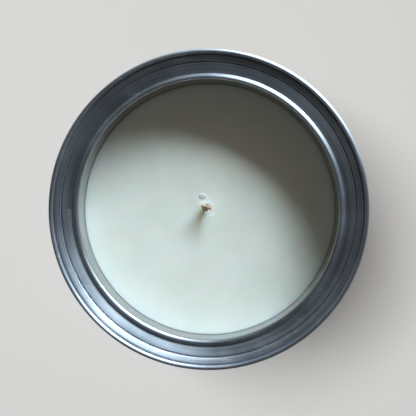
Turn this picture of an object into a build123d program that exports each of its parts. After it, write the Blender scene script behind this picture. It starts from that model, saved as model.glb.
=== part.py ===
from build123d import *
import os

# A lever-lid candle tin without its lid: a seamed tinplate body, a pressed lid ring, a
# pressed bottom, and inside it poured wax with one braided wick held by a metal sustainer.
# Millimetres, +Z up, origin at the middle of the circle that the tin stands on.

# Driving sizes of the tin
TIN_DIAMETER = 86.0
TIN_HEIGHT = 98.0
SHEET = 0.22  # tinplate thickness
SHEET_GAP = 0.04  # air or lacquer between two pressed layers

# Double seam: five layers of sheet, from the inside out the ring or bottom, the body wall,
# the end's hook, the body's hook, and the end's outer panel
LAYER = SHEET + SHEET_GAP
SEAM_LENGTH = 3.1
COMPOUND_WIDTH = 0.24
COMPOUND_HEIGHT = 0.3
HOOK_GAP = 0.6  # left between a hook's free edge and the bend that it points into

PANEL_R = TIN_DIAMETER / 2 - SHEET / 2  # centre-line radii of the five layers
BODY_HOOK_R = PANEL_R - LAYER
END_HOOK_R = PANEL_R - 2 * LAYER
BODY_R = PANEL_R - 3 * LAYER
CHUCK_R = PANEL_R - 4 * LAYER

CROWN_BEND = 0.4  # leaves a narrow flat on the crown, which the tin stands on
HOOK_BEND = LAYER - 0.01
BODY_BORE_R = BODY_R - SHEET / 2
BODY_OUTER_R = BODY_R + SHEET / 2

# Side seam: the body sheet laps over itself and is welded
LAP_WIDTH = 1.6
LAP_RISE = 0.16

# Lid ring, from the rim inwards: corners of the sheet's centre line, each with its bend's
# radius. Depths are measured down from the centre line at the rim's crown.
FOLD_DEPTH = 3.1  # the seam's inner wall goes down this far and is folded back up
FOLD_PITCH = SHEET + 0.1  # between the centre lines of the fold's two walls
SHELF_DEPTH = 0.56
SHELF_BEND = 0.2
SLOPE_R = 41.12
SLOPE_DEPTH = 0.60
SLOPE_BEND = 1.2
RIDGE_R = 39.82
RIDGE_DEPTH = 1.08
RIDGE_BEND = 0.2
STEP_FOOT_R = 39.54
STEP_FOOT_DEPTH = 1.49
STEP_FOOT_BEND = 0.2
PAN_R = 36.92
PAN_DEPTH = 2.15
PAN_BEND = 0.91
BEAD_DEPTH = 0.71  # where the bead's outer slope would meet the neck's line
BEAD_BEND = 0.69
NECK_BORE_R = 35.10
NECK_DEPTH = 9.8  # from the rim's crown to the neck's free edge

# Bottom end
BOTTOM_COUNTERSINK = 3.4
BOTTOM_BEND = 0.8
BOTTOM_STEP_R = 33.0
BOTTOM_STEP = 0.7
PANEL_TOP = BOTTOM_COUNTERSINK - BOTTOM_STEP + SHEET / 2

# Candle
WAX_TOP = TIN_HEIGHT - NECK_DEPTH  # the wax stands level with the neck's lower edge
WAX_CLEARANCE = 0.03
STICKER_R = 9.5
STICKER_THICK = 0.6
SUSTAINER_R = 10.0
SUSTAINER_SHEET = 0.3
COLLAR_R = 2.05
COLLAR_HEIGHT = 3.5
WICK_R = 1.45
WICK_STANDS = 3.2  # how far the trimmed wick stands above the wax
WICK_AT_WAX = (-1.70, -0.10)
WICK_TIP = (-0.62, 0.84)
WICK_BEND = 5.0
WICK_LEAN_BEND = 60.0  # the slow lean above the collar


def pressed(points, bends):
    """A round pressing of even sheet: its centre line, given as (radius, height), turned about Z."""
    centre_line = FilletPolyline([(r, 0, z) for r, z in points], radius=bends)
    section = Face(Wire(centre_line.edges()).offset_2d(SHEET / 2))
    return revolve(section, Axis.Z)


def seam_end(rim, down):
    """Centre line of an end's seam, from the hook's free edge over the crown to its inner wall.

    rim is the height of the crown's outside and down is -1 where the seam hangs below it, +1
    where it stands above it.
    """
    crown = rim + down * SHEET / 2
    foot = rim + down * (SEAM_LENGTH - SHEET / 2)
    hook_edge = rim + down * (SHEET + LAYER + HOOK_GAP)
    points = [(END_HOOK_R, hook_edge), (END_HOOK_R, foot), (PANEL_R, foot), (PANEL_R, crown)]
    points.append((CHUCK_R, crown))
    bends = [HOOK_BEND, HOOK_BEND, CROWN_BEND, CROWN_BEND]
    return points, bends


def body_wall():
    """The rolled and welded body, flanged at both ends into the seams' body hooks."""
    hook_top = TIN_HEIGHT - LAYER - SHEET / 2
    hook_bottom = LAYER + SHEET / 2
    hook_reach = SEAM_LENGTH - SHEET - HOOK_GAP
    points = [
        (BODY_HOOK_R, TIN_HEIGHT - hook_reach),
        (BODY_HOOK_R, hook_top),
        (BODY_R, hook_top),
        (BODY_R, hook_bottom),
        (BODY_HOOK_R, hook_bottom),
        (BODY_HOOK_R, hook_reach),
    ]
    shell = pressed(points, [HOOK_BEND] * 4)
    lap_height = TIN_HEIGHT - 2 * (SEAM_LENGTH + 0.5)
    lap_centre = (0, BODY_R, TIN_HEIGHT / 2)
    lap_block = Pos(*lap_centre) * Box(LAP_WIDTH, 4, lap_height)
    lap_tube = Pos(0, 0, TIN_HEIGHT / 2) * Cylinder(BODY_OUTER_R + LAP_RISE, lap_height)
    lap_bore = Pos(0, 0, TIN_HEIGHT / 2) * Cylinder(BODY_R, lap_height)
    return shell + (lap_block & (lap_tube - lap_bore))


def top_ring():
    """The lid ring: seam, folded inner wall, shelf, ridge, sloping pan, bead and neck."""
    seam_points, seam_bends = seam_end(TIN_HEIGHT, -1)
    fold_r = CHUCK_R - FOLD_PITCH
    neck_r = NECK_BORE_R + SHEET / 2
    crown = TIN_HEIGHT - SHEET / 2
    points = seam_points + [
        (CHUCK_R, crown - FOLD_DEPTH),
        (fold_r, crown - FOLD_DEPTH),
        (fold_r, crown - SHELF_DEPTH),
        (SLOPE_R, crown - SLOPE_DEPTH),
        (RIDGE_R, crown - RIDGE_DEPTH),
        (STEP_FOOT_R, crown - STEP_FOOT_DEPTH),
        (PAN_R, crown - PAN_DEPTH),
        (neck_r, crown - BEAD_DEPTH),
        (neck_r, TIN_HEIGHT - NECK_DEPTH + SHEET / 2),
    ]
    fold_bend = FOLD_PITCH / 2 - 0.01
    bends = seam_bends + [fold_bend, fold_bend, SHELF_BEND, SLOPE_BEND, RIDGE_BEND]
    bends += [STEP_FOOT_BEND, PAN_BEND, BEAD_BEND]
    return pressed(points, bends)


def bottom_end():
    """The countersunk bottom, with one stamped step in its panel."""
    seam_points, seam_bends = seam_end(0, 1)
    step_z = BOTTOM_COUNTERSINK - BOTTOM_STEP
    points = seam_points + [
        (CHUCK_R, BOTTOM_COUNTERSINK),
        (BOTTOM_STEP_R + BOTTOM_STEP, BOTTOM_COUNTERSINK),
        (BOTTOM_STEP_R, step_z),
        (STICKER_R / 2, step_z),
    ]
    rim = pressed(points, seam_bends + [BOTTOM_BEND, 0, 0])
    middle = Pos(0, 0, step_z) * Cylinder(STICKER_R / 2 + SHEET, SHEET)
    return rim + middle


def seam_compound(height):
    """The sealing compound flowed into a seam, between the end's hook and the body's bend."""
    ring = Cylinder(END_HOOK_R + COMPOUND_WIDTH / 2, COMPOUND_HEIGHT)
    bore = Cylinder(END_HOOK_R - COMPOUND_WIDTH / 2, COMPOUND_HEIGHT)
    return Pos(0, 0, height) * (ring - bore)


def sustainer_sticker():
    """The adhesive pad that holds the sustainer to the bottom of the tin."""
    return Pos(0, 0, PANEL_TOP + STICKER_THICK / 2) * Cylinder(STICKER_R, STICKER_THICK)


def wick_sustainer():
    """The pressed metal tab: a flat disc with a rolled edge and a collar crimped on the wick."""
    disc_z = PANEL_TOP + STICKER_THICK
    outline = Polyline(
        (WICK_R, 0, disc_z),
        (SUSTAINER_R, 0, disc_z),
        (SUSTAINER_R, 0, disc_z + 2 * SUSTAINER_SHEET),
        (SUSTAINER_R - SUSTAINER_SHEET, 0, disc_z + 2 * SUSTAINER_SHEET),
        (SUSTAINER_R - SUSTAINER_SHEET, 0, disc_z + SUSTAINER_SHEET),
        (COLLAR_R + SUSTAINER_SHEET, 0, disc_z + SUSTAINER_SHEET),
        (COLLAR_R, 0, disc_z + 2 * SUSTAINER_SHEET),
        (COLLAR_R, 0, disc_z + COLLAR_HEIGHT),
        (WICK_R, 0, disc_z + COLLAR_HEIGHT),
        close=True,
    )
    return revolve(Face(Wire(outline.edges())), Axis.Z)


def wick():
    """The braided wick: upright in the collar, a slow lean through the wax, a bent trimmed tip."""
    foot_z = PANEL_TOP + STICKER_THICK
    straight_z = foot_z + COLLAR_HEIGHT + 4
    wax_x, wax_y = WICK_AT_WAX
    tip_x, tip_y = WICK_TIP
    route = FilletPolyline(
        (0, 0, foot_z),
        (0, 0, straight_z),
        (wax_x, wax_y, WAX_TOP - 1.5),
        (tip_x, tip_y, WAX_TOP + WICK_STANDS),
        radius=[WICK_LEAN_BEND, WICK_BEND],
    )
    path = Wire(route.edges())
    section = Plane(path @ 0, z_dir=path % 0) * Circle(WICK_R)
    return sweep(section.face(), path=path)


def wax_fill(embedded):
    """The poured wax, moulded by the body, by the bottom and by everything embedded in it."""
    lift = SHEET / 2 + WAX_CLEARANCE
    corner = lift * 0.414  # tangent of half the step's 45 degrees
    step_z = BOTTOM_COUNTERSINK - BOTTOM_STEP
    outline = Polyline(
        (0, 0, step_z + lift),
        (BOTTOM_STEP_R - corner, 0, step_z + lift),
        (BOTTOM_STEP_R + BOTTOM_STEP - corner, 0, BOTTOM_COUNTERSINK + lift),
        (BODY_BORE_R, 0, BOTTOM_COUNTERSINK + lift),
        (BODY_BORE_R, 0, WAX_TOP),
        (0, 0, WAX_TOP),
        close=True,
    )
    block = revolve(Face(Wire(outline.edges())), Axis.Z)
    for piece in embedded:
        block = block - piece
    return block


def main():
    sticker = sustainer_sticker()
    sustainer = wick_sustainer()
    braid = wick()
    compound_height = LAYER + SHEET / 2 + HOOK_BEND + COMPOUND_HEIGHT / 2 + SHEET_GAP / 4
    nodes = {
        "body_wall": body_wall(),
        "top_ring": top_ring(),
        "bottom_end": bottom_end(),
        "top_seam_compound": seam_compound(TIN_HEIGHT - compound_height),
        "bottom_seam_compound": seam_compound(compound_height),
        "sustainer_sticker": sticker,
        "wick_sustainer": sustainer,
        "wick": braid,
        "wax_fill": wax_fill([sticker, sustainer, braid]),
    }
    os.makedirs("parts", exist_ok=True)
    for name, solid in nodes.items():
        export_step(solid, f"parts/{name}.step")
        print(name, round(solid.volume), solid.bounding_box())


main()
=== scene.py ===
import math
import random

import bmesh
import bpy
import numpy as np
from mathutils import Matrix, Vector, noise


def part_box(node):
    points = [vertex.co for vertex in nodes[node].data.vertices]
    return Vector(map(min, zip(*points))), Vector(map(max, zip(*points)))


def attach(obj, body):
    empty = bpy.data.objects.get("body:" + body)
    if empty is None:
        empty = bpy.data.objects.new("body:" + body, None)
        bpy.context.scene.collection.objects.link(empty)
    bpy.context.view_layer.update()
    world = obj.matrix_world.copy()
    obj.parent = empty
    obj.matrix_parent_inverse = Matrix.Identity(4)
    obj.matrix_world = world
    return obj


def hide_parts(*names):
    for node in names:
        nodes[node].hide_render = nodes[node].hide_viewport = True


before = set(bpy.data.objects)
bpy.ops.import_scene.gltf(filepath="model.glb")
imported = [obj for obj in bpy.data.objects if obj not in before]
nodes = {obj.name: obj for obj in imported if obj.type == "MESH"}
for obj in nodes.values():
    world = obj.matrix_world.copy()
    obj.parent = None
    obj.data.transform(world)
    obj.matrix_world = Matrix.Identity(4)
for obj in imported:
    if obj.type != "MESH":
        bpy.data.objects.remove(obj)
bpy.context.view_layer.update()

MM = 0.001
rim_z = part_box("top_ring")[1].z
wax_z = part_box("wax_fill")[1].z
tin_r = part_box("top_ring")[1].x
scene = bpy.context.scene

# ---------------------------------------------------------------- camera
# A lens close above the open tin, a little to its right, aimed almost straight down at the rim.
# It sees down into the neck, and slightly more of the neck's left wall than of its right.
CAMERA_ABOVE_RIM = 192 * MM
CAMERA_SIDE = 10.7 * MM
CAMERA_BACK = 2.4 * MM
FRAME_WIDTH = 110.9 * MM  # how much the camera sees across at the rim
AIM = Vector((0.27, 0.46, 0)) * MM
SENSOR_WIDTH = 36.0  # in mm, as the camera's own settings are


def new_object(name, data):
    """An object in the scene that shows or holds the given data."""
    piece = bpy.data.objects.new(name, data)
    scene.collection.objects.link(piece)
    return piece


camera_data = bpy.data.cameras.new("camera")
camera = new_object("camera", camera_data)
camera.location = (CAMERA_SIDE, CAMERA_BACK, rim_z + CAMERA_ABOVE_RIM)
aim_point = Vector((AIM.x, AIM.y, rim_z))
look = (aim_point - camera.location).normalized()
right = look.cross(Vector((0, 1, 0))).normalized()
up = right.cross(look)
camera.rotation_mode = "QUATERNION"
camera.rotation_quaternion = Matrix((right, up, -look)).transposed().to_quaternion()
camera_data.sensor_width = SENSOR_WIDTH
camera_data.lens = SENSOR_WIDTH * (aim_point - camera.location).length / FRAME_WIDTH
camera_data.clip_start = 0.01
camera_data.clip_end = 20.0
scene.camera = camera
scene.view_settings.view_transform = "Standard"
scene.view_settings.look = "None"

# ---------------------------------------------------------------- light
# One wide, low window behind the tin and to its right lights it across the rim; the rest of the
# room is dim. The floor has its own soft overhead light, a weak one above the opening lifts the
# shade on the wax, and two strips light the sides of the body.
WINDOW_TOWARDS = Vector((0.50, 0.866, 0)).normalized()
WINDOW_ELEVATION = math.radians(16.2)
WINDOW_DISTANCE = 0.45


def soft_light(name, place, aim, width, height, watts, colour):
    data = bpy.data.lights.new(name, "AREA")
    data.shape = "RECTANGLE"
    data.size = width
    data.size_y = height
    data.energy = watts
    data.color = colour
    lamp = new_object(name, data)
    lamp.location = place
    lamp.rotation_mode = "QUATERNION"
    lamp.rotation_quaternion = (Vector(aim) - Vector(place)).to_track_quat("-Z", "Y")
    lamp.visible_camera = False
    return lamp


def light_only(lamp, name):
    """The lamp then lights only what is put in the collection that this returns."""
    group = bpy.data.collections.new(name)
    lamp.light_linking.receiver_collection = group
    return group


window_place = Vector((0, 0, rim_z)) + WINDOW_DISTANCE * (
    WINDOW_TOWARDS * math.cos(WINDOW_ELEVATION) + Vector((0, 0, math.sin(WINDOW_ELEVATION)))
)
window = soft_light(
    "window", window_place, aim=(0, 0, rim_z),
    width=0.293, height=0.111, watts=6.6, colour=(0.84, 0.944, 1.0),
)
lit_by_window = light_only(window, "lit_by_window")
overhead = soft_light(
    "overhead", (-0.32, 0.23, 1.5), aim=(0, 0, 0),
    width=0.62, height=0.62, watts=19.1, colour=(0.975, 0.985, 1.0),
)
lit_by_overhead = light_only(overhead, "lit_by_overhead")
headspace_fill = soft_light(
    "headspace_fill", (0, 0, 1.2), aim=(0, 0, 0),
    width=0.5, height=0.5, watts=0.55, colour=(1.0, 0.96, 0.90),
)
lit_by_fill = light_only(headspace_fill, "lit_by_fill")
side_strips = [
    soft_light(
        "strip_left", (-0.55, -0.45, 0.25), aim=(0, 0, 0.05),
        width=0.12, height=0.5, watts=3.0, colour=(1, 1, 1),
    ),
    soft_light(
        "strip_right", (0.6, -0.25, 0.22), aim=(0, 0, 0.05),
        width=0.10, height=0.45, watts=0.9, colour=(0.95, 0.98, 1),
    ),
]
lit_by_strips = [light_only(strip, strip.name + "_lights") for strip in side_strips]

# How bright the room is: by height, from the horizon at 0 to overhead at 1, and by side
ROOM_BY_HEIGHT = (
    (0.0, (0.15, 0.15, 0.15)),
    (0.12, (0.30, 0.257, 0.194)),
    (0.54, (0.255, 0.212, 0.16)),
    (0.74, (0.024, 0.022, 0.022)),
    (1.0, (0.008, 0.008, 0.01)),
)
AWAY_FROM_WINDOW, AWAY_BRIGHTNESS = -0.8, 0.35
NEAR_WINDOW, NEAR_BRIGHTNESS = 0.3, 1.15
world = bpy.data.worlds.new("room")
scene.world = world
world.use_nodes = True
room = world.node_tree
room.nodes.clear()
room_out = room.nodes.new("ShaderNodeOutputWorld")
room_light = room.nodes.new("ShaderNodeBackground")
room_place = room.nodes.new("ShaderNodeTexCoord")
room_split = room.nodes.new("ShaderNodeSeparateXYZ")
room.links.new(room_place.outputs["Generated"], room_split.inputs[0])
by_height = room.nodes.new("ShaderNodeValToRGB")
by_height.color_ramp.elements[1].position = 1.0
for stop, tone in ROOM_BY_HEIGHT[1:-1]:
    by_height.color_ramp.elements.new(stop)
for element, (stop, tone) in zip(by_height.color_ramp.elements, ROOM_BY_HEIGHT):
    element.color = (*tone, 1)
room.links.new(room_split.outputs["Z"], by_height.inputs["Fac"])
towards_window = room.nodes.new("ShaderNodeVectorMath")
towards_window.operation = "DOT_PRODUCT"
towards_window.inputs[1].default_value = WINDOW_TOWARDS
room.links.new(room_place.outputs["Generated"], towards_window.inputs[0])
by_side = room.nodes.new("ShaderNodeMapRange")
by_side.inputs["From Min"].default_value = AWAY_FROM_WINDOW
by_side.inputs["From Max"].default_value = NEAR_WINDOW
by_side.inputs["To Min"].default_value = AWAY_BRIGHTNESS
by_side.inputs["To Max"].default_value = NEAR_BRIGHTNESS
room.links.new(towards_window.outputs["Value"], by_side.inputs["Value"])
room_mix = room.nodes.new("ShaderNodeVectorMath")
room_mix.operation = "SCALE"
room.links.new(by_height.outputs["Color"], room_mix.inputs[0])
room.links.new(by_side.outputs["Result"], room_mix.inputs["Scale"])
room.links.new(room_mix.outputs["Vector"], room_light.inputs["Color"])
room.links.new(room_light.outputs["Background"], room_out.inputs["Surface"])

# ---------------------------------------------------------------- floor
# A plain pale sheet of matt paper that the tin stands on. It reaches far past the tin, so that
# its edges don't show.
FLOOR_HALF = 3.0


def new_finish(name):
    """A new material and its shader."""
    finish = bpy.data.materials.new(name)
    finish.use_nodes = True
    return finish, finish.node_tree.nodes["Principled BSDF"]


floor_corners = [(x * FLOOR_HALF, y * FLOOR_HALF, 0) for x, y in ((-1, -1), (1, -1), (1, 1), (-1, 1))]
floor_mesh = bpy.data.meshes.new("floor")
floor_mesh.from_pydata(floor_corners, [], [(0, 1, 2, 3)])
floor = new_object("floor", floor_mesh)
floor_finish, floor_shader = new_finish("floor_paper")
floor_shader.inputs["Base Color"].default_value = (0.80, 0.80, 0.79, 1)
floor_shader.inputs["Roughness"].default_value = 0.9
floor_shader.inputs["Specular IOR Level"].default_value = 0.1
floor_mesh.materials.append(floor_finish)
lit_by_overhead.objects.link(floor)

# ---------------------------------------------------------------- lid ring
# The ring that takes the lid is one pressing of dull tinplate: its edge is double-seamed over
# the body, and inside that come a shelf, a ridge, a shallow pan, a bead and the upright neck.
# The press tools leave fine marks running round it.
SHEET = 0.22 * MM
SEAM_PITCH = 0.26 * MM  # from one layer of the double seam to the next
SEAM_LENGTH = 3.1 * MM
SEAM_BEND, CROWN_BEND = 0.25 * MM, 0.515 * MM
HOOK_TOP = 1.08 * MM  # how far below the rim the hook ends
FOLD_DEPTH, FOLD_BEND = 3.10 * MM, 0.15 * MM
SHELF_DEPTH = 0.56 * MM
# The bands inside the shelf: radius from the axis, and depth below the crown, of the sheet's middle
SLOPE_R, SLOPE_DEPTH = 41.12 * MM, 0.60 * MM
RIDGE_R, RIDGE_DEPTH = 39.98 * MM, 1.05 * MM
STEP_FOOT_R, STEP_FOOT_DEPTH = 39.88 * MM, 1.42 * MM
PAN_EDGE_R, PAN_EDGE_DEPTH = 39.35 * MM, 1.26 * MM
PAN_FOOT_R, PAN_FOOT_DEPTH = 36.68 * MM, 1.98 * MM
BEAD_DEPTH, BEAD_BEND = 0.85 * MM, 0.6 * MM
neck_r = 35.10 * MM  # the bore that takes the lid
# The middles of the seam's outer layer, its inner wall, the hook between them, and the folded wall
panel_r = tin_r - SHEET / 2
chuck_r = panel_r - 4 * SEAM_PITCH
hook_r = panel_r - 2 * SEAM_PITCH
fold_r = chuck_r - 0.32 * MM
ring_mid = rim_z - SHEET / 2
neck_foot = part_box("top_ring")[0].z + SHEET / 2
ring_corners = [
    (hook_r, rim_z - HOOK_TOP, 0),
    (hook_r, rim_z - SEAM_LENGTH + SHEET / 2, SEAM_BEND),
    (panel_r, rim_z - SEAM_LENGTH + SHEET / 2, SEAM_BEND),
    (panel_r, ring_mid, CROWN_BEND),
    (chuck_r, ring_mid, CROWN_BEND),
    (chuck_r, ring_mid - FOLD_DEPTH, FOLD_BEND),
    (fold_r, ring_mid - FOLD_DEPTH, FOLD_BEND),
    (fold_r, ring_mid - SHELF_DEPTH, 0.2 * MM),
    (SLOPE_R, ring_mid - SLOPE_DEPTH, 1.2 * MM),
    (RIDGE_R, ring_mid - RIDGE_DEPTH, 0.15 * MM),
    (STEP_FOOT_R, ring_mid - STEP_FOOT_DEPTH, 0.08 * MM),
    (PAN_EDGE_R, ring_mid - PAN_EDGE_DEPTH, 0.3 * MM),
    (PAN_FOOT_R, ring_mid - PAN_FOOT_DEPTH, 0.3 * MM),
    (neck_r + SHEET / 2, ring_mid - BEAD_DEPTH, BEAD_BEND),
    (neck_r + SHEET / 2, neck_foot, 0),
]


def rounded_line(corners, arc_step=math.radians(11), longest=1.2 * MM):
    """Points along straight runs joined by arcs; a corner is (radius from the axis, height, bend)."""
    line = []
    for i, (x, z, bend) in enumerate(corners):
        here = np.array((x, z))
        if bend == 0:
            line.append(here)
            continue
        before = np.array(corners[i - 1][:2]) - here
        after = np.array(corners[i + 1][:2]) - here
        before /= np.linalg.norm(before)
        after /= np.linalg.norm(after)
        turn = math.pi - math.acos(np.clip(before @ after, -1, 1))
        reach = bend * math.tan(turn / 2)
        middle = (before + after) / np.linalg.norm(before + after)
        centre = here + middle * bend / math.cos(turn / 2)
        start = here + before * reach - centre
        end = here + after * reach - centre
        steps = max(2, int(math.ceil(turn / arc_step)))
        for k in range(steps + 1):
            t = k / steps
            a, b = math.sin((1 - t) * turn), math.sin(t * turn)
            line.append(centre + (start * a + end * b) / math.sin(turn))
    full = [line[0]]
    for p in line[1:]:
        gap = np.linalg.norm(p - full[-1])
        if gap < 1e-7:
            continue
        pieces = int(math.ceil(gap / longest))
        last = full[-1]
        full += [last + (p - last) * k / pieces for k in range(1, pieces + 1)]
    return np.array(full)


def sheet_outline(line, thickness):
    """The closed outline of a bent sheet of even thickness, with rounded edges."""
    tangent = np.gradient(line, axis=0)
    tangent /= np.linalg.norm(tangent, axis=1)[:, None]
    normal = np.c_[-tangent[:, 1], tangent[:, 0]]
    half = thickness / 2
    ends = []
    for point, out, side in ((line[-1], tangent[-1], normal[-1]), (line[0], -tangent[0], -normal[0])):
        arc = [math.radians(a) for a in (45, 90, 135)]
        ends.append(np.array([point + half * (side * math.cos(a) + out * math.sin(a)) for a in arc]))
    return np.vstack([line + half * normal, ends[0], (line - half * normal)[::-1], ends[1]])


def turned(name, outline, shape, steps=256):
    """A closed outline turned about the tin's axis; shape then moves the points (x, y, z)."""
    angles = np.arange(steps) * 2 * math.pi / steps
    n = len(outline)
    r, z = outline[:, 0], outline[:, 1]
    points = np.stack(
        [np.outer(np.cos(angles), r), np.outer(np.sin(angles), r), np.tile(z, (steps, 1))], axis=-1
    )
    points = shape(points)
    faces = []
    for i in range(steps):
        j = (i + 1) % steps
        for k in range(n):
            m = (k + 1) % n
            faces.append((i * n + k, j * n + k, j * n + m, i * n + m))
    mesh = bpy.data.meshes.new(name)
    mesh.from_pydata(points.reshape(-1, 3).tolist(), [], faces)
    mesh.shade_smooth()
    mesh.update()
    cleaned = bmesh.new()
    cleaned.from_mesh(mesh)
    bmesh.ops.recalc_face_normals(cleaned, faces=cleaned.faces)
    cleaned.to_mesh(mesh)
    cleaned.free()
    return new_object(name, mesh)


NICK_ANGLE = math.radians(-17)  # a small nick in the bead, on the right
NICK_DEPTH = 0.16 * MM


def pressed_unevenly(points):
    """A pressing is never quite true: slow waves a few hundredths of a millimetre high."""
    x, y, z = points[..., 0], points[..., 1], points[..., 2]
    angle = np.arctan2(y, x)
    r = np.hypot(x, y)
    inner = np.clip((tin_r - 1.6 * MM - r) / (2 * MM), 0, 1)
    wave = 0.5 * np.sin(3 * angle + 0.7) + 0.3 * np.sin(5 * angle + 2.1) + 0.2 * np.sin(11 * angle + 4.0)
    z = z + 0.03 * MM * wave * inner
    nudge = 0.02 * MM * (np.sin(4 * angle + 1.3) + 0.6 * np.sin(7 * angle)) * inner
    from_nick = np.angle(np.exp(1j * (angle - NICK_ANGLE))) * neck_r
    across_bead = (r - neck_r - 0.3 * MM) / (0.35 * MM)
    along_bead = from_nick / (0.7 * MM)
    at_edge = np.exp(-(across_bead**2)) * np.exp(-(along_bead**2))
    nudge = nudge - NICK_DEPTH * at_edge
    return np.stack([x * (1 + nudge / r), y * (1 + nudge / r), z], axis=-1)


lid_ring = turned("lid_ring", sheet_outline(rounded_line(ring_corners), SHEET), pressed_unevenly)


class Nodes:
    """Short words for making and joining a material's or a group's nodes."""

    def __init__(self, tree):
        self.tree = tree

    def new(self, kind, **settings):
        node = self.tree.nodes.new("ShaderNode" + kind)
        for key, value in settings.items():
            setattr(node, key, value)
        return node

    def join(self, source, target):
        self.tree.links.new(source, target)

    def put(self, socket, value):
        if isinstance(value, bpy.types.NodeSocket):
            self.join(value, socket)
        else:
            socket.default_value = value

    def math(self, operation, a, b=0.0):
        node = self.new("Math", operation=operation)
        for socket, value in zip(node.inputs, (a, b)):
            self.put(socket, value)
        return node.outputs[0]

    def between(self, value, low, high, to_low=0.0, to_high=1.0):
        """value mapped smoothly from the range low to high onto to_low to to_high."""
        node = self.new("MapRange", interpolation_type="SMOOTHSTEP")
        for socket, number in zip(node.inputs[:5], (value, low, high, to_low, to_high)):
            self.put(socket, number)
        return node.outputs["Result"]

    def mix(self, share, a, b):
        node = self.new("Mix", data_type="RGBA")
        self.put(node.inputs["Factor"], share)
        self.put(node.inputs["A"], a)
        self.put(node.inputs["B"], b)
        return node.outputs["Result"]

    def noise(self, place, scale, detail=2.0, roughness=0.5):
        node = self.new("TexNoise")
        self.put(node.inputs["Vector"], place)
        self.put(node.inputs["Scale"], scale)
        self.put(node.inputs["Detail"], detail)
        self.put(node.inputs["Roughness"], roughness)
        return node.outputs["Fac"]

    def around_axis(self, place):
        """The X, Y and Z of a place, and how far it is from the tin's axis."""
        split = self.new("SeparateXYZ")
        self.join(place, split.inputs[0])
        squares = [self.math("POWER", split.outputs[axis], 2.0) for axis in "XY"]
        return split.outputs, self.math("SQRT", self.math("ADD", *squares))

    def bump(self, shader, height, strength, distance):
        """Make the shader's surface rise and fall with height."""
        node = self.new("Bump")
        self.put(node.inputs["Strength"], strength)
        self.put(node.inputs["Distance"], distance)
        self.join(height, node.inputs["Height"])
        self.join(node.outputs["Normal"], shader.inputs["Normal"])


def new_group(name, numbers_in, values_out):
    """A node group with named numbers going in, each with its usual value, and named outputs."""
    group = bpy.data.node_groups.new(name, "ShaderNodeTree")
    for label, usual in numbers_in.items():
        socket = group.interface.new_socket(label, in_out="INPUT", socket_type="NodeSocketFloat")
        socket.default_value = usual
    for label in values_out:
        group.interface.new_socket(label, in_out="OUTPUT", socket_type="NodeSocketFloat")
    make = Nodes(group)
    place = make.new("TexCoord").outputs["Object"]
    given, result = (group.nodes.new("NodeGroup" + end) for end in ("Input", "Output"))
    return group, make, place, given.outputs, result.inputs


# Marks that run round the axis, left by the press and by the rolling of the sheet
round_grain, make, place, given, result = new_group(
    "round_grain", {"Marks per mm": 3.0, "Length": 2.0}, ["Height", "Tone"]
)
axes, away = make.around_axis(place)
angle = make.math("ARCTAN2", axes["Y"], axes["X"])
per_metre = make.math("MULTIPLY", given["Marks per mm"], 1000.0)
across = make.new("CombineXYZ")
make.join(make.math("MULTIPLY", away, per_metre), across.inputs["X"])
make.join(make.math("MULTIPLY", axes["Z"], per_metre), across.inputs["Y"])
make.join(make.math("MULTIPLY", angle, given["Length"]), across.inputs["Z"])
fine = make.noise(across.outputs[0], 1.0, detail=3.0, roughness=0.7)
broad = make.noise(across.outputs[0], 0.23, detail=2.0)
marks = make.math("ADD", make.math("MULTIPLY", fine, 0.7), make.math("MULTIPLY", broad, 0.3))
tones = make.math("ADD", make.math("MULTIPLY", fine, 0.5), make.math("MULTIPLY", broad, 0.5))
make.join(marks, result["Height"])
make.join(make.between(tones, 0.36, 0.64), result["Tone"])

# Handling wear: specks, short scuffs and a cloudy haze
handling, make, place, given, result = new_group(
    "handling", {"Specks per mm": 2.2, "Cloud size": 60.0}, ["Specks", "Clouds", "Scratches"]
)
specks = make.noise(place, make.math("MULTIPLY", given["Specks per mm"], 1000.0), 4.0, 0.6)
make.join(make.between(specks, 0.60, 0.70), result["Specks"])
clouds = make.noise(place, given["Cloud size"], 4.0, 0.6)
make.join(make.between(clouds, 0.35, 0.7), result["Clouds"])
stretch = make.new("Mapping")
stretch.inputs["Rotation"].default_value = (0.3, 0.5, 0.7)
stretch.inputs["Scale"].default_value = (60, 900, 900)
make.join(place, stretch.inputs["Vector"])
lines = make.noise(stretch.outputs[0], 1.0, 1.0, 0.4)
make.join(make.between(lines, 0.70, 0.74), result["Scratches"])

RUBBED_SIDE = (0.77, -0.64, 0)  # the side of the ridge where the tin is rubbed bright
RUBBED_TIN = (0.86, 0.88, 0.90, 1)
SCRATCHED_TIN = (0.80, 0.83, 0.86, 1)
NECK_TIN = (0.39, 0.395, 0.40, 1)
NECK_SMOOTHER = 0.34


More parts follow.
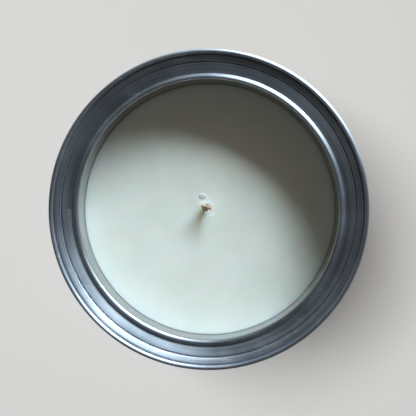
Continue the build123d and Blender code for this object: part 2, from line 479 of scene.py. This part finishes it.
def tinplate(name, colour, dark, roughness, grain_per_mm, grain_length, worn_ring=None, smooth_neck=None):
    """Dull tinplate. worn_ring is the radius of a ridge whose tin is rubbed bright, and inside
    the radius smooth_neck the die has left the tin smooth.
    """
    finish, shader = new_finish(name)
    make = Nodes(finish.node_tree)
    shader.inputs["Metallic"].default_value = 1.0
    shader.inputs["Anisotropic"].default_value = 0.60
    shader.inputs["Anisotropic Rotation"].default_value = 0.25
    tangent = make.new("Tangent", direction_type="RADIAL", axis="Z")
    make.join(tangent.outputs[0], shader.inputs["Tangent"])
    grain = make.new("Group", node_tree=round_grain)
    grain.inputs["Marks per mm"].default_value = grain_per_mm
    grain.inputs["Length"].default_value = grain_length
    wear = make.new("Group", node_tree=handling)
    tone = make.math("ADD", make.math("MULTIPLY", grain.outputs["Tone"], 0.5),
                     make.math("MULTIPLY", wear.outputs["Clouds"], 0.5))
    paint = make.mix(tone, dark, colour)
    rough = make.math("ADD", roughness, make.math("MULTIPLY", make.math("SUBTRACT", tone, 0.5), 0.12))
    height = grain.outputs["Height"]
    if worn_ring is not None:
        place = make.new("TexCoord").outputs["Object"]
        away = make.around_axis(place)[1]
        off_ridge = make.math("ABSOLUTE", make.math("SUBTRACT", away, worn_ring))
        near_ridge = make.between(off_ridge, 0.15 * MM, 0.75 * MM, 1.0, 0.0)
        facing = make.new("VectorMath", operation="DOT_PRODUCT")
        make.join(place, facing.inputs[0])
        facing.inputs[1].default_value = RUBBED_SIDE
        worn_side = make.between(make.math("DIVIDE", facing.outputs["Value"], away), 0.70, 0.97)
        worn = make.math("MULTIPLY", make.math("MULTIPLY", near_ridge, worn_side), wear.outputs["Specks"])
        paint = make.mix(make.math("MULTIPLY", worn, 0.8), paint, RUBBED_TIN)
        rough = make.math("ADD", rough, make.math("MULTIPLY", worn, 0.25))
        height = make.math("SUBTRACT", height, make.math("MULTIPLY", worn, 0.6))
        in_neck = make.between(away, smooth_neck - 0.1 * MM, smooth_neck + 0.25 * MM, 1.0, 0.0)
        rough = make.math("SUBTRACT", rough, make.math("MULTIPLY", in_neck, NECK_SMOOTHER))
        paint = make.mix(in_neck, paint, NECK_TIN)
    scratch = wear.outputs["Scratches"]
    paint = make.mix(make.math("MULTIPLY", scratch, 0.45), paint, SCRATCHED_TIN)
    make.join(paint, shader.inputs["Base Color"])
    make.join(rough, shader.inputs["Roughness"])
    height = make.math("SUBTRACT", height, make.math("MULTIPLY", scratch, 0.4))
    make.bump(shader, height, 0.6, 0.022 * MM)
    return finish


ring_tin = tinplate(
    "ring_tin", colour=(0.58, 0.65, 0.74, 1), dark=(0.31, 0.37, 0.45, 1), roughness=0.52,
    grain_per_mm=5.0, grain_length=1.6, worn_ring=39.75 * MM, smooth_neck=neck_r + 0.1 * MM,
)
lid_ring.data.materials.append(ring_tin)
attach(lid_ring, "root")
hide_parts("top_ring")
lit_by_window.objects.link(lid_ring)

# ---------------------------------------------------------------- body
# The body is a tube of tinplate with a welded side seam, flanged at both ends, and the bottom is
# a round pressing of the same sheet. Both are plain bright tin, and a double seam joins them.
body_tin = tinplate(
    "body_tin", colour=(0.68, 0.71, 0.74, 1), dark=(0.56, 0.60, 0.64, 1), roughness=0.24,
    grain_per_mm=2.0, grain_length=0.8,
)
for node in ("body_wall", "bottom_end"):
    nodes[node].data.materials.clear()
    nodes[node].data.materials.append(body_tin)
    for group in lit_by_strips:
        group.objects.link(nodes[node])

# ---------------------------------------------------------------- wax
# The candle is one pour of pale, slightly greenish wax that fills the tin from the bottom to
# the neck. It set almost flat, with a soft meniscus up the neck and round the wick.
WAX_RINGS = 90
WAX_STEPS = 192
LIP_HEIGHT, LIP_WIDTH = 0.10 * MM, 0.35 * MM
COLLAR_HEIGHT, COLLAR_WIDTH = 0.14 * MM, 0.4 * MM
COLLAR_R = 1.3 * MM
BOTTOM_STEP = 0.7 * MM  # the pressed step round the bottom, which the wax fills
STEP_OUTER_R, STEP_INNER_R = 33.65 * MM, 32.95 * MM
wax_low, wax_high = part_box("wax_fill")
body_bore = wax_high.x
wick_foot = Vector((-1.60, -0.05, 0)) * MM


def wax_height(x, y):
    """The height of the wax's top: flat, but for the lips and slow waves of a cooled pour."""
    r = np.hypot(x, y)
    lip = LIP_HEIGHT * np.exp(-np.clip(neck_r - r, 0, None) / LIP_WIDTH)
    by_wick = np.hypot(x - wick_foot.x, y - wick_foot.y)
    collar = COLLAR_HEIGHT * np.exp(-np.clip(by_wick - COLLAR_R, 0, None) / COLLAR_WIDTH)
    slow = 0.05 * MM * (np.sin(x / (9 * MM) + 1.0) * np.sin(y / (7 * MM) + 2.0))
    ripple = 0.015 * MM * (np.sin(x / (2.3 * MM) + 0.4) * np.sin(y / (2.9 * MM) + 1.1))
    return wax_z + lip + collar + slow + ripple


def wax_mesh():
    """Rings of points from the middle of the wax's top, over its side and to its foot."""
    top_radii = list(neck_r * (np.linspace(0.004, 1.0, WAX_RINGS) ** 0.8))
    angles = np.arange(WAX_STEPS) * 2 * math.pi / WAX_STEPS
    points, rings = [], []

    def add_ring(r, heights):
        start = len(points)
        for a, z in zip(angles, heights):
            points.append((r * math.cos(a), r * math.sin(a), z))
        rings.append(start)

    for r in top_radii:
        add_ring(r, wax_height(r * np.cos(angles), r * np.sin(angles)))
    step_top = wax_low.z + BOTTOM_STEP
    for r, z in ((neck_r + 0.02 * MM, wax_z), (body_bore, wax_z), (body_bore, step_top),
                 (STEP_OUTER_R, step_top), (STEP_INNER_R, wax_low.z)):
        add_ring(r, [z] * WAX_STEPS)
    faces = []
    for a, b in zip(rings, rings[1:]):
        for i in range(WAX_STEPS):
            j = (i + 1) % WAX_STEPS
            faces.append((a + i, b + i, b + j, a + j))
    faces.append(tuple(range(rings[0], rings[0] + WAX_STEPS)))
    faces.append(tuple(reversed(range(rings[-1], rings[-1] + WAX_STEPS))))
    mesh = bpy.data.meshes.new("candle_wax")
    mesh.from_pydata(points, [], faces)
    mesh.shade_smooth()
    return mesh


def let_light_in(shader, share, radius, scale):
    """Light enters the surface and comes out again a little way off."""
    shader.inputs["Subsurface Weight"].default_value = share
    shader.inputs["Subsurface Radius"].default_value = radius
    shader.inputs["Subsurface Scale"].default_value = scale


candle_wax = new_object("candle_wax", wax_mesh())
wax_finish, wax_shader = new_finish("pale_wax")
make = Nodes(wax_finish.node_tree)
wax_place = make.new("TexCoord").outputs["Object"]
mottle = make.noise(wax_place, 110.0, 4.0, 0.6)
frost = make.noise(wax_place, 900.0, 3.0, 0.6)
mottled = make.between(mottle, 0.3, 0.7)
frosted = make.math("MULTIPLY", make.between(frost, 0.55, 0.75), 0.35)
wax_paint = make.mix(mottled, (0.71, 0.765, 0.72, 1), (0.75, 0.795, 0.76, 1))
wax_paint = make.mix(frosted, wax_paint, (0.80, 0.82, 0.78, 1))
make.join(wax_paint, wax_shader.inputs["Base Color"])
make.join(make.between(mottle, 0.3, 0.7, 0.42, 0.55), wax_shader.inputs["Roughness"])
let_light_in(wax_shader, 0.8, (1.0, 0.62, 0.40), 7 * MM)
wax_shader.inputs["IOR"].default_value = 1.44
make.bump(wax_shader, make.math("ADD", mottle, make.math("MULTIPLY", frost, 0.3)), 0.3, 0.05 * MM)
candle_wax.data.materials.append(wax_finish)
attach(candle_wax, "root")
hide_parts("wax_fill")
lit_by_window.objects.link(candle_wax)
lit_by_fill.objects.link(candle_wax)

# ---------------------------------------------------------------- wax drips and crumbs
# Candle wax that ran down the wick and set: lumps against its far side and foot, one flat drop
# beside it, and crumbs where the tip was trimmed.


def lump(mesh, centre, size, seed, roughness=0.14, detail=3):
    """A rounded, uneven lump of wax."""
    form = bmesh.new()
    bmesh.ops.create_icosphere(form, subdivisions=detail, radius=1.0)
    shift = Vector((seed * 1.7, seed * 2.3, seed * 0.9))
    for vertex in form.verts:
        push = 1 + roughness * noise.fractal(vertex.co * 1.3 + shift, 0.8, 2.0, 3)
        vertex.co = Vector(centre) + Vector([c * push * d for c, d in zip(vertex.co, size)])
    part = bpy.data.meshes.new("lump")
    form.to_mesh(part)
    form.free()
    mesh.from_mesh(part)
    bpy.data.meshes.remove(part)


CRUMBS = 7
drips = bmesh.new()
lump(drips, (-0.10 * MM, 1.22 * MM, wax_z + 1.05 * MM), (0.95 * MM, 0.62 * MM, 1.25 * MM), 1, 0.25, 4)
lump(drips, (0.30 * MM, 0.80 * MM, wax_z + 0.95 * MM), (0.66 * MM, 0.62 * MM, 1.2 * MM), 5, 0.25, 4)
lump(drips, (-0.75 * MM, 0.75 * MM, wax_z + 0.25 * MM), (1.3 * MM, 1.0 * MM, 0.6 * MM), 7, 0.2, 4)
lump(drips, (-1.78 * MM, 3.58 * MM, wax_z + 0.04 * MM), (1.05 * MM, 0.88 * MM, 0.09 * MM), 2)
crumbs = random.Random(4)
for i in range(CRUMBS):
    at = (crumbs.uniform(0.0, 1.3) * MM, crumbs.uniform(-2.0, -1.0) * MM, wax_z + 0.08 * MM)
    size = crumbs.uniform(0.12, 0.24) * MM
    lump(drips, at, (size, size * 0.8, size * 0.7), 10 + i, 0.3, 2)
drip_mesh = bpy.data.meshes.new("wax_drips")
drips.to_mesh(drip_mesh)
drips.free()
drip_mesh.shade_smooth()
wax_drips = new_object("wax_drips", drip_mesh)
drip_finish, drip_shader = new_finish("set_wax")
make = Nodes(drip_finish.node_tree)
drip_place = make.new("TexCoord").outputs["Object"]
drip_frost = make.noise(drip_place, 2200.0, 3.0, 0.6)
drip_split = make.new("SeparateXYZ")
make.join(drip_place, drip_split.inputs[0])
# Wax higher up the wick is painted dark grey: painted shade that tones down the window's light on those
# lumps; the flat drop at the foot keeps the pale wax colour.
painted_shade_up_wick = make.between(drip_split.outputs["Z"], wax_z + 0.25 * MM, wax_z + 0.7 * MM)
drip_paint = make.mix(make.between(drip_frost, 0.35, 0.7), (0.72, 0.745, 0.755, 1), (0.78, 0.79, 0.80, 1))
drip_paint = make.mix(painted_shade_up_wick, drip_paint, (0.22, 0.225, 0.215, 1))
make.join(drip_paint, drip_shader.inputs["Base Color"])
make.join(make.between(drip_frost, 0.3, 0.7, 0.32, 0.5), drip_shader.inputs["Roughness"])
let_light_in(drip_shader, 0.5, (1.0, 0.75, 0.55), 0.8 * MM)
make.bump(drip_shader, drip_frost, 0.4, 0.03 * MM)
drip_mesh.materials.append(drip_finish)
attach(wax_drips, "root")
wax_drips.visible_shadow = False  # wax this thin lets most of the light through
lit_by_window.objects.link(wax_drips)

# ---------------------------------------------------------------- wick
# A plait of three cotton strands, primed with wax and held upright from the tab at the bottom.
# It leans a little through the wax, and its trimmed end stands out bent, frayed and browned.
WICK_STANDS = 2.9 * MM
STRAND_R = 0.37 * MM
PLAIT_PITCH = 5.2 * MM
PLAIT_TIGHT, PLAIT_LOOSENS = 0.34, 0.56  # the strands' swing, in mm, and how much more at the end
PLAIT_DEPTH = 0.36 * MM
TIP_STEP = 0.17 * MM
TIP_TAPER = (1.0, 0.98, 0.9, 0.66)
HAIRS = 16
HAIR_RADII = (0.055, 0.05, 0.04, 0.02)  # in mm
wick_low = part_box("wick")[0].z
hair_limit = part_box("wick")[1].z - 0.05 * MM
wick_route = [
    Vector((0, 0, wick_low)),
    Vector((0, 0, wick_low + 7.5 * MM)),
    Vector((-0.8 * MM, -0.04 * MM, (wick_low + wax_z) / 2)),
    Vector((-1.6 * MM, -0.08 * MM, wax_z - 4.0 * MM)),
    Vector((-1.55 * MM, -0.02 * MM, wax_z - 0.8 * MM)),
    Vector((-0.50 * MM, 0.60 * MM, wax_z + WICK_STANDS - 0.45 * MM)),
]


def along(points, step):
    """Even points along a smooth line through the given points."""
    padded = [points[0] * 2 - points[1]] + points + [points[-1] * 2 - points[-2]]
    line = []
    for a, b, c, d in zip(padded, padded[1:], padded[2:], padded[3:]):
        count = max(2, int((c - b).length / step))
        for k in range(count):
            t = k / count
            line.append(
                0.5 * (2 * b + (c - a) * t + (2 * a - 5 * b + 4 * c - d) * t * t
                       + (3 * b - a - 3 * c + d) * t * t * t)
            )
    return line + [points[-1].copy()]


def tube(mesh, line, radii, sides=8):
    """A closed tube of changing radius along a line."""
    rings = []
    side = Vector((1, 0, 0))
    for i, point in enumerate(line):
        run = (line[min(i + 1, len(line) - 1)] - line[max(i - 1, 0)]).normalized()
        side = (side - run * side.dot(run)).normalized()
        other = run.cross(side)
        ring = []
        for k in range(sides):
            a = 2 * math.pi * k / sides
            ring.append(mesh.verts.new(point + radii[i] * (math.cos(a) * side + math.sin(a) * other)))
        rings.append(ring)
    for a, b in zip(rings, rings[1:]):
        for k in range(sides):
            m = (k + 1) % sides
            mesh.faces.new((a[k], a[m], b[m], b[k]))
    mesh.faces.new(list(reversed(rings[0])))
    mesh.faces.new(rings[-1])


plait_width = Vector((0.74, -0.67, 0))
plait_depth = Vector((0.67, 0.74, 0))
route = along(wick_route, 0.30 * MM)
strays = random.Random(11)
wick_mesh = bmesh.new()
for strand in range(3):
    line, radii = [], []
    travelled = 0.0
    for i, point in enumerate(route):
        if i:
            travelled += (point - route[i - 1]).length
        turn = 2 * math.pi * (travelled / PLAIT_PITCH + strand / 3)
        loosened = min(max((point.z - wax_z) / WICK_STANDS, 0), 1)
        spread = (PLAIT_TIGHT + PLAIT_LOOSENS * loosened) * MM
        sideways = plait_width * spread * math.sin(turn)
        line.append(point + sideways + plait_depth * PLAIT_DEPTH * math.sin(2 * turn))
        radii.append(STRAND_R * (1 + 0.06 * math.sin(9 * turn)))
    lean = (line[-1] - line[-3]).normalized()
    bend = plait_width * (0.55, -0.35, 0.35)[strand] + plait_depth * (-0.30, 0.10, -0.45)[strand]
    for k, taper in enumerate(TIP_TAPER, 1):
        line.append(line[-1] + (lean + bend * k * 0.5).normalized() * TIP_STEP)
        radii.append(radii[-1] * taper)
    tube(wick_mesh, line, radii)
    tip = line[-1]
    for k in range(HAIRS):
        root = tip + Vector([strays.uniform(-0.34, 0.34) * MM for c in range(3)]) - lean * 0.25 * MM
        out = (lean + bend * 0.8 + Vector([strays.uniform(-0.9, 0.9) for c in range(3)])).normalized()
        length = strays.uniform(0.30, 0.62) * MM
        hair = [root + out * length * t + Vector((0, 0, -0.10 * MM)) * t * t for t in (0, 0.4, 0.8, 1.0)]
        hair = [Vector((p.x, p.y, min(p.z, hair_limit))) for p in hair]
        tube(wick_mesh, hair, [r * MM for r in HAIR_RADII], sides=5)
wick_data = bpy.data.meshes.new("plaited_wick")
wick_mesh.to_mesh(wick_data)
wick_mesh.free()
wick_data.shade_smooth()
plaited_wick = new_object("plaited_wick", wick_data)
cotton, cotton_shader = new_finish("waxed_cotton")
make = Nodes(cotton.node_tree)
cotton_place = make.new("TexCoord").outputs["Object"]
fibre_map = make.new("Mapping")
fibre_map.inputs["Scale"].default_value = (5200, 5200, 900)
make.join(cotton_place, fibre_map.inputs["Vector"])
fibres = make.noise(fibre_map.outputs[0], 1.0, 3.0, 0.6)
stain = make.noise(cotton_place, 1100.0, 3.0, 0.6)
cotton_paint = make.mix(make.between(fibres, 0.35, 0.65), (0.21, 0.135, 0.065, 1), (0.50, 0.365, 0.225, 1))
cotton_paint = make.mix(make.between(stain, 0.50, 0.68), cotton_paint, (0.50, 0.41, 0.31, 1))
make.join(cotton_paint, cotton_shader.inputs["Base Color"])
make.join(make.between(stain, 0.3, 0.7, 0.45, 0.75), cotton_shader.inputs["Roughness"])
let_light_in(cotton_shader, 0.25, (1.0, 0.7, 0.45), 0.4 * MM)
make.bump(cotton_shader, fibres, 0.7, 0.06 * MM)
wick_data.materials.append(cotton)
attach(plaited_wick, "root")
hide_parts("wick")
lit_by_window.objects.link(plaited_wick)

# ---------------------------------------------------------------- sustainer and its pad
# The wick stands in a small tab of tinned steel, pressed from sheet and crimped round it.
# A round pad of sticky foam holds the tab to the bottom while the wax is poured.
tab_steel = tinplate(
    "tab_steel", colour=(0.62, 0.63, 0.64, 1), dark=(0.48, 0.50, 0.52, 1), roughness=0.38,
    grain_per_mm=3.0, grain_length=2.0,
)
foam, foam_shader = new_finish("foam_pad")
make = Nodes(foam.node_tree)
foam_place = make.new("TexCoord").outputs["Object"]
cells = make.new("TexVoronoi")
make.join(foam_place, cells.inputs["Vector"])
cells.inputs["Scale"].default_value = 4200.0
from_cell = cells.outputs["Distance"]
foam_paint = make.mix(make.between(from_cell, 0.1, 0.7), (0.80, 0.79, 0.76, 1), (0.62, 0.61, 0.58, 1))
make.join(foam_paint, foam_shader.inputs["Base Color"])
make.join(make.between(from_cell, 0.1, 0.7, 0.7, 0.9), foam_shader.inputs["Roughness"])
make.bump(foam_shader, from_cell, 0.6, 0.05 * MM)

# ---------------------------------------------------------------- seam compound
# A thin ring of grey-green rubbery sealing compound lies in each double seam. It is flowed into
# the curl of the end and dried before the seam is rolled shut.
compound, compound_shader = new_finish("sealing_compound")
make = Nodes(compound.node_tree)
compound_place = make.new("TexCoord").outputs["Object"]
flow = make.noise(compound_place, 700.0, 3.0, 0.6)
compound_paint = make.mix(make.between(flow, 0.3, 0.7), (0.33, 0.36, 0.31, 1), (0.44, 0.46, 0.40, 1))
make.join(compound_paint, compound_shader.inputs["Base Color"])
make.join(make.between(flow, 0.3, 0.7, 0.5, 0.7), compound_shader.inputs["Roughness"])
make.bump(compound_shader, flow, 0.4, 0.03 * MM)
hidden_finishes = {
    "wick_sustainer": tab_steel,
    "sustainer_sticker": foam,
    "top_seam_compound": compound,
    "bottom_seam_compound": compound,
}
for node, finish in hidden_finishes.items():
    nodes[node].data.materials.clear()
    nodes[node].data.materials.append(finish)
    lit_by_window.objects.link(nodes[node])
